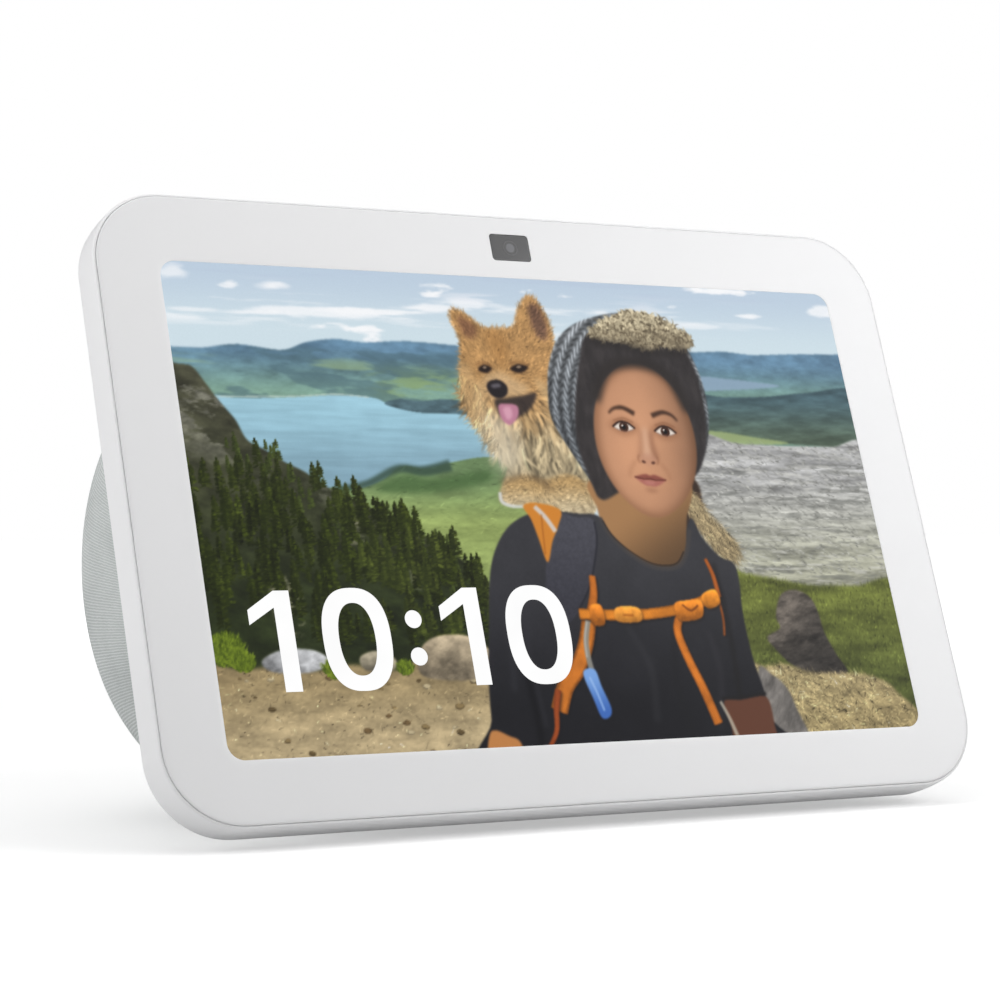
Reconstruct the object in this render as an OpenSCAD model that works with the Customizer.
// Tabletop smart display: a slim display slab carried by a rounded, fabric covered speaker body.
// +X is the viewer's right, the screen faces -Y and +Z is up. The origin is on the table, under the
// middle of the object's box.

/* [Display slab] */
// Width of the display slab
slab_w = 201.5; // [190:0.5:205]
// Height of the slab, measured along its face
slab_h = 137.4; // [133:0.1:140]
// Thickness of the slab
slab_t = 11; // [11:0.1:12]
// Radius of the slab's four corners
slab_r = 17; // [14:0.5:20]
// Lean of the slab back from vertical, in degrees
tilt = 19.7; // [18:0.1:21]
// Height of the slab's lowest edge above the table
slab_gap = 1; // [1:0.1:3]
// Thickness of the slab's side wall
wall_t = 2; // [1.8:0.1:2.2]

/* [Screen] */
// Width of the lit screen
screen_w = 172.3; // [168:0.1:174]
// Height of the lit screen
screen_h = 107.7; // [105:0.1:109]
// How far the screen's centre lies below the face's centre
screen_drop = 0.9; // [0.5:0.1:1.2]
// Thickness of the cover glass
glass_t = 1.1; // [1:0.05:1.1]
// Thickness of the foam gasket behind the glass
gasket_t = 0.25; // [0.2:0.05:0.25]

/* [Camera] */
// Width of the camera window
window_w = 10; // [9:0.5:11]
// Height of the camera window
window_h = 6.5; // [5:0.5:6.5]
// Height of the camera's axis above the face's centre
camera_y = 60.5; // [60:0.1:61]
// Radius of the camera's lens
lens_r = 2; // [1.8:0.1:2]
// Travel of the privacy shutter
shutter_travel = 8.5; // [8:0.1:8.5]

/* [Buttons] */
// Radius of a button cap
button_r = 2.75; // [2.5:0.05:2.75]
// Distance between neighbouring buttons
button_pitch = 15; // [12:0.5:16]
// Distance of the middle button from the slab's centre line
button_x = 44; // [40:1:46]
// How far a cap stands proud of the top wall
button_proud = 0.4; // [0.2:0.1:0.5]

/* [Body] */
// Half width of the fabric body
body_a = 94; // [93:0.5:95]
// Radius of the body around its left to right axis, at the middle
body_r = 62.5; // [62:0.5:63]
// Radius of the body's round ends, seen from behind
body_end_r = 41.5; // [40:0.5:44]
// Radius of the slight crown between the two ends
body_crown_r = 220; // [210:10:300]
// Height of the body's axis above the table
body_z = 55.2; // [55:0.1:56]
// Thickness of the knitted fabric
fabric_t = 1.3; // [1:0.1:1.3]
// Wall thickness of the grille shell under the fabric
shell_t = 2.5; // [2.2:0.1:2.5]

/* [Loudspeakers] */
// Radius of a loudspeaker's mounting flange
driver_flange_r = 20; // [19.5:0.5:20]
// Radius of the hole that a loudspeaker sits in
driver_hole_r = 17; // [16.5:0.1:17]
// Radius of a loudspeaker's moving cone
cone_r = 12.8; // [12.4:0.1:12.8]

/* [Foot and inlet] */
// Height of the rubber foot
foot_h = 2.4; // [2.2:0.1:2.4]
// Half width of the foot ring
foot_a = 50; // [48:1:50]
// Radius of the foot ring's round ends
foot_r = 19; // [18:0.5:19]
// Radius of the recess that takes the power plug's body
recess_r = 4.6; // [4.4:0.1:4.8]
// Depth of the recess that takes the power plug's body
recess_depth = 4; // [3.5:0.5:4]
// Radius of the power jack's hole
jack_r = 2.75; // [2.7:0.05:2.8]

/* [Hidden] */
$fn = 64;

// The slab's frame: its origin is the middle of the front face, +Y runs up the face and +Z out of it.
depth = 106;
front_reach = 0.5;
face_y = -depth / 2 - front_reach + slab_h / 2 * sin(tilt);
face_z = slab_gap + slab_h / 2 * cos(tilt) + slab_t * sin(tilt);
half_h = slab_h / 2;
lip = 0.8;
lip_set_back = 0.25;
cover_t = 2;
cover_z = -slab_t + cover_t;
pocket_z = -glass_t - gasket_t;
ledge_t = 1.5;
ledge_w = 5;

// Layers behind the glass, each given by the level of its front
lcd_margin = 1.4;
lcd_t = 1.5;
guide_z = -glass_t - lcd_t;
guide_t = 1.2;
tray_floor_z = guide_z - guide_t;
tray_t = 0.8;
tray_wall = 1;
fit_gap = 0.15;

// Camera stack
window_r = 0.8;
barrel_r = 3.2;
blade_w = 8;
blade_h = 6.8;
blade_t = 0.7;
blade_front_z = -3.2;
blade_x = 9.2;
arm_w = 4;
arm_y = camera_y + barrel_r + 0.1;
arm_z = -5.9;
arm_depth = 2.4;
slot_clear = 0.25;
knob_w = 8;
knob_d = 4.4;
knob_recess = 1;
guide_front_z = -4.15;
guide_plate_t = 0.8;
barrel_h = 2.4;
camera_board_w = 10;
camera_board_h = 9;
board_t = 0.8;

// Buttons, switches and microphones
button_axis_z = -5.9;
button_xs = [for (i = [-1:1]) -button_x + i * button_pitch];
button_bore_gap = 0.15;
button_flange_r = 2.95;
button_travel = 0.5;
switch_board_y = 60.4;
switch_board_w = 40;
switch_w = 3.6;
switch_h = 1.6;
plunger_r = 0.9;
plunger_h = 0.6;
cap_bottom_y = switch_board_y + board_t + switch_h + plunger_h + button_travel + 0.1;
mic_xs = [-82, -68, 68, 82];
mic_hole_r = 0.6;
mic_w = 3;
mic_h = 1;
top_board_z = [-8.7, -3.1];

// Cable and screws between slab and body
cable_y = -31;
cable_w = 24;
cable_t = 0.3;
cable_run = 15;
cable_hole = [30, 6];
screw_r = 1.4;
screw_head_r = 2.6;
screw_head_h = 1.4;
bracket_size = [96, 76];
bracket_t = 1.6;
bracket_screws_at = [for (x = [-38, 38], y = [-26, 26]) [x, y]];
boss_r = 3;
boss_top_z = -5;
standoffs_at = [for (x = [-36, 36], y = [-33, 19]) [x, y]];
standoff_r = 2.6;
posts_at = [for (x = [-45, 45], y = [-30, 8]) [x, y]];
post_r = 2.6;

// Layers behind the slab
bracket_z = -slab_t - bracket_t;
main_board_size = [82, 62];
main_board_y = -7;
main_board_t = 1.6;
main_board_z = bracket_z - 4.4;
shield_t = 2.2;
box_front_z = -21.5;

// Speaker box, in the object's own frame
box_a = 58;
box_rear_y = 28;
box_z = [22, 84];
box_wall = 2.5;
driver_y = 7.3;
driver_z = 52;
radiator_z = 57.6;
flange_t = 2;
basket_depth = 15;
basket_foot_r = 11;
motor_r = 10;
motor_h = 8;
coil_r = 6;
coil_wall = 0.5;
coil_gap = [5, 7.3];
cone_depth = 5;
cone_travel = 2;
surround_t = 0.5;
sound_grid = [-9, 0, 9];
sound_hole_r = 3;

// Base
base_t = 2.5;
foot_y = -5;
foot_ring_w = 8;
foot_screw_r = foot_r - foot_ring_w / 2;
base_screws_at = [for (s = [-1, 1], a = [-45, 45])
    [s * (foot_a - foot_r + foot_screw_r * cos(a)), foot_y + foot_screw_r * sin(a)]];
base_boss_r = 4;
base_boss_h = 14;
web_t = 2.4;

// Body of revolution: its axis runs left to right
body_y = depth / 2 - body_r;
end_x = body_a - body_end_r;
end_y = body_r - body_crown_r + sqrt(pow(body_crown_r - body_end_r, 2) - end_x * end_x);
crown_angle = atan(end_x / (end_y - body_r + body_crown_r));
end_bands = 8;
crown_bands = 4;

// Power inlet
inlet_z = 28.4;
inlet_x = 0;
bezel_r = 6.5;
bezel_y = [39, 47.6];
jack_size = [10, 9.6, 9];
jack_pin_r = 1;
jack_bore_depth = 8.4;
power_board_size = [28, 1, 12];
far = 400;

// ---------- helpers ----------

// Puts its children into the slab's frame
module in_slab() {
    translate([0, face_y, face_z]) rotate([90 - tilt, 0, 0]) children();
}

// A rectangle with round corners, centred
module round_rect(w, h, r) {
    square([w - 2 * r, h], center = true);
    square([w, h - 2 * r], center = true);
    for (x = [-1, 1], y = [-1, 1]) translate([x * (w / 2 - r), y * (h / 2 - r)]) circle(r);
}

// The slab's outline, pulled in by inset
module slab_outline(inset) {
    round_rect(slab_w - 2 * inset, slab_h - 2 * inset, slab_r - inset);
}

// A plate between two levels of the slab's frame
module layer(z_low, z_high) {
    translate([0, 0, z_low]) linear_extrude(z_high - z_low) children();
}

// A plain screw: the head's underside is at the origin and the shank points to -Z
module screw(length) {
    translate([0, 0, -length]) cylinder(r = screw_r, h = length);
    difference() {
        cylinder(r = screw_head_r, h = screw_head_h);
        translate([0, 0, screw_head_h / 2]) cylinder(r = 1.1, h = screw_head_h, $fn = 6);
    }
}

// Half section of the body of revolution, pulled in by inset: +X is the radius and +Y the axis
module body_section(inset) {
    end_step = (90 - crown_angle) / end_bands;
    crown_step = crown_angle / crown_bands;
    half = [
        [0, body_a - inset],
        for (i = [0:end_bands]) [end_y + (body_end_r - inset) * sin(i * end_step),
                                 end_x + (body_end_r - inset) * cos(i * end_step)],
        for (i = [1:crown_bands - 1]) let (a = crown_angle - i * crown_step)
            [body_r - body_crown_r + (body_crown_r - inset) * cos(a), (body_crown_r - inset) * sin(a)],
        [body_r - inset, 0]
    ];
    last = len(half) - 1;
    polygon([for (p = half) p, for (i = [last - 1:-1:0]) [half[i].x, -half[i].y]]);
}

// The body's rounded form behind the slab and above the level z_low, pulled in by inset
module body_form(inset, z_low, behind = 0.05) {
    difference() {
        translate([0, body_y, body_z]) rotate([0, 90, 0]) rotate_extrude($fn = 128)
            body_section(inset);
        in_slab() translate([0, 0, far / 2 - slab_t - behind]) cube(far, center = true);
        translate([0, 0, z_low - far / 2]) cube(far, center = true);
    }
}

// Puts its children on the left (-1) or right (1) loudspeaker's axis: +Z out of the body, origin at
// the speaker box's end wall
module at_driver(side) {
    translate([side * box_a, driver_y, driver_z]) rotate([0, side * 90, 0]) children();
}

// Puts its children on the passive radiator's axis, origin at the speaker box's rear wall
module at_radiator() {
    translate([0, box_rear_y, radiator_z]) rotate([-90, 0, 0]) children();
}

// ---------- display slab ----------

module camera_hole(clear) {
    translate([0, camera_y]) round_rect(window_w + clear, window_h + clear, window_r + clear / 2);
}

module cover_glass() {
    color("whitesmoke") in_slab() layer(-glass_t, 0) difference() {
        slab_outline(lip + fit_gap / 2);
        camera_hole(0.04);
    }
}

module camera_window() {
    color("dimgray") in_slab() layer(-glass_t, -0.02) camera_hole(0);
}

module screen_gasket() {
    color("black") in_slab() layer(pocket_z, -glass_t) difference() {
        slab_outline(wall_t + fit_gap);
        slab_outline(ledge_w);
    }
}

module screen_plate(grow) {
    translate([0, -screen_drop])
        square([screen_w + 2 * (lcd_margin + grow), screen_h + 2 * (lcd_margin + grow)], center = true);
}

module lcd_cell() {
    color("darkslategray") in_slab() layer(guide_z, -glass_t) screen_plate(0);
}

module light_guide() {
    color("ghostwhite") in_slab() layer(tray_floor_z, guide_z) screen_plate(-0.3);
}

module backlight_tray() {
    color("silver") in_slab() {
        layer(tray_floor_z - tray_t, tray_floor_z) screen_plate(fit_gap + tray_wall);
        layer(tray_floor_z, pocket_z) difference() {
            screen_plate(fit_gap + tray_wall);
            screen_plate(fit_gap);
        }
    }
}

module display_driver_board() {
    color("seagreen") in_slab() translate([0, -50]) {
        layer(-6.4, tray_floor_z - tray_t) square([120, 9], center = true);
        for (x = [-40:20:40]) translate([x, 0]) layer(-7.4, -6.4) square([8, 3], center = true);
    }
}

module display_frame() {
    color("white") in_slab() difference() {
        union() {
            layer(cover_z, -lip_set_back) difference() {
                slab_outline(0);
                slab_outline(wall_t);
            }
            layer(pocket_z - ledge_t, pocket_z) difference() {
                slab_outline(wall_t - 0.1);
                slab_outline(ledge_w);
            }
        }
        // the glass drops into the front of the wall
        layer(pocket_z, 1) slab_outline(lip);
        // button bores in the top wall
        for (x = button_xs) translate([x, half_h + 1, button_axis_z]) rotate([90, 0, 0])
            cylinder(r = button_r + button_bore_gap, h = wall_t + 3);
        // microphone pinholes
        for (x = mic_xs) translate([x, half_h + 1, button_axis_z]) rotate([90, 0, 0])
            cylinder(r = mic_hole_r, h = wall_t + 3);
        // the shutter's recess and slot
        translate([blade_x - shutter_travel / 2, half_h, arm_z])
            cube([knob_w + shutter_travel + 2, 2 * knob_recess, knob_d + 0.8], center = true);
        translate([blade_x - shutter_travel / 2, half_h, arm_z])
            cube([arm_w + shutter_travel + 2 * slot_clear, 3 * wall_t, arm_depth + 2 * slot_clear], center = true);
    }
}

module rear_cover() {
    color("white") in_slab() difference() {
        union() {
            layer(-slab_t, cover_z) slab_outline(0);
            for (p = bracket_screws_at) translate(p) layer(cover_z, boss_top_z) circle(boss_r);
        }
        for (p = bracket_screws_at) translate(p) layer(-slab_t - 1, boss_top_z - 1) circle(screw_r);
        translate([0, cable_y]) layer(-slab_t - 1, cover_z + 1) square(cable_hole, center = true);
    }
}

module display_flex_cable() {
    color("darkorange") in_slab() translate([0, cable_y]) {
        layer(main_board_z, -6.7) square([cable_w, cable_t], center = true);
        translate([-cable_w / 2, -cable_run]) layer(-6.7, -6.4)
            square([cable_w, cable_run + cable_t / 2]);
    }
}

// ---------- camera and shutter ----------

module camera_barrel() {
    color("dimgray") in_slab() translate([0, camera_y]) difference() {
        layer(guide_front_z - guide_plate_t - barrel_h, guide_front_z - guide_plate_t) circle(barrel_r);
        layer(guide_front_z - guide_plate_t - 1.2, 0) circle(lens_r);
    }
}

module camera_lens() {
    lens_back = guide_front_z - guide_plate_t - 1.2;
    color("midnightblue") in_slab() translate([0, camera_y, lens_back])
        rotate_extrude() polygon([[0, 0], [lens_r, 0], [lens_r, 0.5],
            for (a = [20:20:80]) [lens_r * cos(a), 0.5 + 0.6 * sin(a)], [0, 1.1]]);
}

module camera_board() {
    back = guide_front_z - guide_plate_t - barrel_h;
    color("seagreen") in_slab() translate([0, camera_y])
        layer(back - board_t, back) square([camera_board_w, camera_board_h], center = true);
}

module shutter_guide() {
    guide_w = blade_w + shutter_travel + 6;
    color("dimgray") in_slab() translate([blade_x - shutter_travel / 2, camera_y]) difference() {
        layer(guide_front_z - guide_plate_t, blade_front_z)
            square([guide_w, blade_h + 0.7], center = true);
        layer(guide_front_z, 0) square([guide_w - 1.6, blade_h + 0.3], center = true);
        translate([-blade_x + shutter_travel / 2, 0]) layer(-slab_t, 0) circle(lens_r + 0.4);
        // clear way for the arm above the blade
        translate([0, arm_y - camera_y + 1.8]) layer(guide_front_z - 2, 0)
            square([arm_w + shutter_travel + 1, 4], center = true);
    }
}

module privacy_shutter() {
    knob_top = half_h + 0.3;
    color("white") in_slab() {
        translate([blade_x, camera_y]) layer(blade_front_z - blade_t, blade_front_z)
            square([blade_w, blade_h], center = true);
        translate([blade_x - arm_w / 2, arm_y]) layer(arm_z - arm_depth / 2, blade_front_z)
            square([arm_w, 1.6]);
        translate([blade_x - arm_w / 2, arm_y, arm_z - arm_depth / 2])
            cube([arm_w, half_h - arm_y, arm_depth]);
        translate([blade_x, half_h - knob_recess + 0.1, arm_z]) difference() {
            translate([-knob_w / 2, 0, -knob_d / 2])
                cube([knob_w, knob_top - half_h + knob_recess - 0.1, knob_d]);
            for (x = [-2.4:1.2:2.4]) translate([x - 0.2, knob_top - half_h + 0.7, -knob_d])
                cube([0.4, 1, 2 * knob_d]);
        }
    }
}

// ---------- buttons and microphones ----------

module button_cap(x) {
    color("gainsboro") in_slab() translate([x, cap_bottom_y, button_axis_z]) rotate([-90, 0, 0]) {
        cylinder(r = button_r, h = half_h + button_proud - cap_bottom_y);
        translate([0, 0, 0.1]) cylinder(r = button_flange_r, h = 0.7);
    }
}

module mute_button() { button_cap(button_xs[2]); }

module volume_down_button() { button_cap(button_xs[0]); }

module volume_up_button() { button_cap(button_xs[1]); }

// A narrow board standing across the slab under the top wall
module top_board(x, w) {
    translate([x - w / 2, switch_board_y, top_board_z[0]])
        cube([w, board_t, top_board_z[1] - top_board_z[0]]);
}

module button_board() { color("seagreen") in_slab() top_board(-button_x, switch_board_w); }

module tact_switches() {
    color("silver") in_slab() for (x = button_xs)
        translate([x, switch_board_y + board_t, button_axis_z]) rotate([-90, 0, 0]) {
            translate([-switch_w / 2, -switch_w / 2, 0]) cube([switch_w, switch_w, switch_h]);
            cylinder(r = plunger_r, h = switch_h + plunger_h);
        }
}

module microphone_boards() {
    color("seagreen") in_slab() for (s = [-1, 1]) top_board(s * (mic_xs[2] + mic_xs[3]) / 2, 20);
}

module microphones() {
    color("gold") in_slab() for (x = mic_xs)
        translate([x - mic_w / 2, switch_board_y + board_t, button_axis_z - mic_w / 2])
            cube([mic_w, mic_h, mic_w]);
}

// ---------- between slab and body ----------

module neck_bracket() {
    color("lightsteelblue") in_slab() difference() {
        union() {
            layer(bracket_z, -slab_t) round_rect(bracket_size.x, bracket_size.y, 6);
            for (p = standoffs_at) translate(p) layer(main_board_z, bracket_z) circle(standoff_r);
            for (p = posts_at) translate(p) layer(box_front_z, bracket_z) circle(post_r);
        }
        for (p = bracket_screws_at) translate(p) layer(-slab_t - bracket_t - 1, 0) circle(screw_r + 0.2);
        for (p = standoffs_at) translate(p) layer(main_board_z - 1, bracket_z + 1) circle(screw_r);
        for (p = posts_at) translate(p) layer(box_front_z - 1, bracket_z + 1) circle(screw_r);
        translate([0, cable_y]) layer(bracket_z - 1, 0) square(cable_hole, center = true);
    }
}

module heat_spreader() {
    color("silver") in_slab() {
        layer(bracket_z - 1.4, bracket_z) square([60, 40], center = true);
        layer(main_board_z, bracket_z - 1.4) square([34, 28], center = true);
    }
}

module main_board() {
    color("darkgreen") in_slab() difference() {
        translate([0, main_board_y]) union() {
            layer(main_board_z - main_board_t, main_board_z) square(main_board_size, center = true);
            for (x = [-32, -25, 24, 31]) translate([x, -8])
                layer(main_board_z - main_board_t - 1.2, main_board_z - main_board_t)
                    square([5, 9], center = true);
        }
        for (p = standoffs_at) translate(p) layer(-slab_t - 20, 0) circle(screw_r + 0.2);
    }
}

module processor_shield() {
    z = main_board_z - main_board_t;
    color("silver") in_slab() difference() {
        layer(z - shield_t, z) square([36, 30], center = true);
        layer(z - shield_t + 0.3, z + 1) square([35.4, 29.4], center = true);
    }
}

module wifi_antennas() {
    color("gold") for (s = [-1, 1]) translate([s * 40 - 12, 2, box_z[1] + 0.2]) cube([24, 10, 0.4]);
}

// ---------- loudspeakers ----------

// Level of the speaker box's slanting front at height z, pulled in by inset
function box_front(z, inset) =
    face_y + (z - face_z - box_front_z * sin(tilt)) * tan(tilt) - box_front_z * cos(tilt)
    + inset / cos(tilt);

// The speaker box's outer form, pulled in by inset
module box_form(inset) {
    low = box_z[0] + inset;
    high = box_z[1] - inset;
    translate([-box_a + inset, 0, 0]) rotate([90, 0, 90]) linear_extrude(2 * (box_a - inset))
        polygon([[box_front(low, inset), low], [box_rear_y - inset, low],
                 [box_rear_y - inset, high], [box_front(high, inset), high]]);
}

module speaker_box() {
    color("dimgray") difference() {
        box_form(0);
        box_form(box_wall);
        translate([0, 0, box_z[1] - box_wall + far / 2]) cube(far, center = true);
        for (s = [-1, 1]) at_driver(s) cylinder(r = driver_hole_r, h = 4 * box_wall, center = true);
        at_radiator() cylinder(r = driver_hole_r, h = 4 * box_wall, center = true);
        in_slab() for (p = posts_at) translate(p) layer(box_front_z - 6, box_front_z + 1)
            circle(screw_r + 0.2);
    }
}

module speaker_box_lid() {
    color("gray") intersection() {
        box_form(0);
        translate([0, 0, box_z[1] - box_wall + far / 2]) cube(far, center = true);
    }
}

module driver_frame() {
    difference() {
        union() {
            cylinder(r = driver_flange_r, h = flange_t);
            rotate_extrude() polygon([[basket_foot_r - 1, -basket_depth], [basket_foot_r, -basket_depth],
                [driver_hole_r - 0.3, -4], [driver_hole_r - 0.3, 1], [driver_hole_r - 1.6, 1],
                [driver_hole_r - 1.6, -3.6], [basket_foot_r - 1, -basket_depth + 1.4]]);
        }
        cylinder(r = driver_hole_r - 1.5, h = 3 * flange_t, center = true);
        for (a = [45:90:315]) rotate(a) translate([driver_hole_r + 1.6, 0, -1])
            cylinder(r = 0.9, h = 2 * flange_t);
    }
}

module driver_motor() {
    translate([0, 0, -basket_depth - motor_h]) difference() {
        cylinder(r = motor_r, h = motor_h + 1.2);
        translate([0, 0, 2]) difference() {
            cylinder(r = coil_gap[1], h = far / 8);
            cylinder(r = coil_gap[0], h = far / 8);
        }
    }
}

// Cone, dust cap and voice coil former: one moving piece
module driver_cone() {
    t = 0.6;
    neck_z = -cone_depth;
    rotate_extrude() polygon([
        [0, neck_z + 3.2], for (a = [75:-15:0]) [coil_r * cos(a), neck_z + 1.2 + 2 * sin(a)],
        [cone_r, 0.6], [cone_r, 0.6 - t], [coil_r + 1, neck_z], [coil_r, neck_z],
        [coil_r, -basket_depth - cone_travel], [coil_r - coil_wall, -basket_depth - cone_travel],
        [coil_r - coil_wall, neck_z + 0.6], [0, neck_z + 2.6]]);
}

// The rolled rubber edge between a cone and its frame
module driver_surround() {
    mid = (cone_r + driver_hole_r - 1.6) / 2;
    roll = (driver_hole_r - 1.6 - cone_r) / 2 - 0.05;
    rotate_extrude() translate([mid, 0.7]) difference() {
        circle(roll, $fn = 32);
        circle(roll - surround_t, $fn = 32);
        translate([-roll - 1, -2 * roll - 1]) square([2 * roll + 2, 2 * roll + 1]);
    }
}

module left_driver_frame() { color("black") at_driver(-1) driver_frame(); }
module left_driver_motor() { color("silver") at_driver(-1) driver_motor(); }
module left_cone() { color("darkgray") at_driver(-1) driver_cone(); }
module left_surround() { color("black") at_driver(-1) driver_surround(); }
module right_driver_frame() { color("black") at_driver(1) driver_frame(); }
module right_driver_motor() { color("silver") at_driver(1) driver_motor(); }
module right_cone() { color("darkgray") at_driver(1) driver_cone(); }
module right_surround() { color("black") at_driver(1) driver_surround(); }

module radiator_frame() {
    color("black") at_radiator() difference() {
        cylinder(r = driver_flange_r, h = flange_t);
        cylinder(r = driver_hole_r - 1.5, h = 3 * flange_t, center = true);
        for (a = [45:90:315]) rotate(a) translate([driver_hole_r + 1.6, 0, -1])
            cylinder(r = 0.9, h = 2 * flange_t);
    }
}

module radiator_cone() {
    color("darkgray") at_radiator() {
        translate([0, 0, -0.4]) cylinder(r = cone_r, h = 1);
        translate([0, 0, 0.6]) cylinder(r = cone_r - 5, h = 1.6);
    }
}

module radiator_surround() { color("black") at_radiator() driver_surround(); }

// ---------- body outside ----------

module grille_shell() {
    outer = fabric_t + 0.1;
    inner = outer + shell_t;
    low = foot_h + base_t;
    color("darkgray") difference() {
        union() {
            difference() {
                body_form(outer, low);
                body_form(inner, low - 1, behind = -1);
                // sound openings in front of each loudspeaker
                for (s = [-1, 1], y = sound_grid, z = sound_grid)
                    translate([s * box_a, driver_y + y, driver_z + z]) rotate([0, s * 90, 0])
                        cylinder(r = sound_hole_r, h = far / 8);
                for (x = sound_grid, z = sound_grid)
                    translate([x, box_rear_y, radiator_z + z]) rotate([-90, 0, 0])
                        cylinder(r = sound_hole_r, h = far / 8);
            }
            intersection() {
                body_form(outer + 0.5, low);
                for (p = base_screws_at) translate([p.x, p.y, low]) {
                    cylinder(r = base_boss_r, h = base_boss_h);
                    translate([-web_t / 2, p.y > foot_y ? 0 : -30, 0]) cube([web_t, 30, base_boss_h]);
                }
            }
        }
        for (p = base_screws_at) translate([p.x, p.y, low - 1]) cylinder(r = screw_r, h = base_boss_h);
        translate([inlet_x, 0, inlet_z]) rotate([-90, 0, 0]) cylinder(r = bezel_r + 0.02, h = far);
    }
}

module fabric_cover() {
    color("lightgray") difference() {
        body_form(0, foot_h + 0.1);
        body_form(fabric_t, foot_h - 1, behind = -1);
        translate([inlet_x, 0, inlet_z]) rotate([-90, 0, 0]) cylinder(r = bezel_r + 0.02, h = far);
    }
}

module base_plate() {
    color("gray") difference() {
        intersection() {
            body_form(fabric_t + 0.1, foot_h);
            translate([0, 0, foot_h + base_t - far / 2]) cube(far, center = true);
        }
        for (p = base_screws_at) translate([p.x, p.y, foot_h - 1]) {
            cylinder(r = screw_r + 0.2, h = base_t + 2);
            cylinder(r = screw_head_r + 0.2, h = 1 + screw_head_h);
        }
    }
}

module foot_outline(inset) {
    round_rect(2 * (foot_a - inset), 2 * (foot_r - inset), foot_r - inset - 0.01);
}

module rubber_foot() {
    color("darkslategray") translate([0, foot_y, 0]) linear_extrude(foot_h) difference() {
        foot_outline(0);
        foot_outline(foot_ring_w);
    }
}

// ---------- power inlet ----------

module inlet_bezel() {
    color("silver") translate([inlet_x, 0, inlet_z]) rotate([-90, 0, 0]) difference() {
        translate([0, 0, bezel_y[0]]) cylinder(r = bezel_r, h = bezel_y[1] - bezel_y[0]);
        translate([0, 0, bezel_y[1] - recess_depth]) cylinder(r = recess_r, h = far);
        translate([0, 0, bezel_y[0] - 1]) cylinder(r = jack_r + 0.4, h = far);
    }
}

module power_jack() {
    front = bezel_y[0];
    color("black") translate([inlet_x, front, inlet_z]) {
        difference() {
            translate([-jack_size.x / 2, -jack_size.y, -jack_size.z / 2]) cube(jack_size);
            rotate([90, 0, 0]) cylinder(r = jack_r, h = jack_bore_depth);
        }
        rotate([90, 0, 0]) cylinder(r = jack_pin_r, h = jack_bore_depth + 1);
    }
}

module power_board() {
    color("seagreen") translate([inlet_x - power_board_size.x / 2, box_rear_y + 0.2, box_z[0]])
        cube(power_board_size);
}

// ---------- fasteners ----------

module bracket_screws() {
    color("silver") in_slab() for (p = bracket_screws_at) translate([p.x, p.y, bracket_z])
        rotate([180, 0, 0]) screw(5.6);
}

module board_screws() {
    color("silver") in_slab() for (p = standoffs_at)
        translate([p.x, p.y, main_board_z - main_board_t]) rotate([180, 0, 0]) screw(5);
}

module box_screws() {
    color("silver") in_slab() for (p = posts_at)
        translate([p.x, p.y, box_front_z - box_wall]) rotate([180, 0, 0]) screw(8);
}

module driver_screws() {
    color("silver") for (a = [45:90:315]) {
        for (s = [-1, 1]) at_driver(s) rotate(a) translate([driver_hole_r + 1.6, 0, 0]) {
            cylinder(r = 0.88, h = flange_t);
            translate([0, 0, flange_t]) cylinder(r = 1.3, h = 0.8);
        }
        at_radiator() rotate(a) translate([driver_hole_r + 1.6, 0, 0]) {
            cylinder(r = 0.88, h = flange_t);
            translate([0, 0, flange_t]) cylinder(r = 1.3, h = 0.8);
        }
    }
}

module base_screws() {
    color("silver") for (p = base_screws_at) translate([p.x, p.y, foot_h + screw_head_h])
        rotate([180, 0, 0]) screw(11);
}

cover_glass();
camera_window();
screen_gasket();
lcd_cell();
light_guide();
backlight_tray();
display_driver_board();
display_frame();
rear_cover();
display_flex_cable();
camera_barrel();
camera_lens();
camera_board();
shutter_guide();
privacy_shutter();
mute_button();
volume_down_button();
volume_up_button();
button_board();
tact_switches();
microphone_boards();
microphones();
neck_bracket();
heat_spreader();
main_board();
processor_shield();
wifi_antennas();
speaker_box();
speaker_box_lid();
left_driver_frame();
left_driver_motor();
left_cone();
left_surround();
right_driver_frame();
right_driver_motor();
right_cone();
right_surround();
radiator_frame();
radiator_cone();
radiator_surround();
grille_shell();
fabric_cover();
base_plate();
rubber_foot();
inlet_bezel();
power_jack();
power_board();
bracket_screws();
board_screws();
box_screws();
driver_screws();
base_screws();
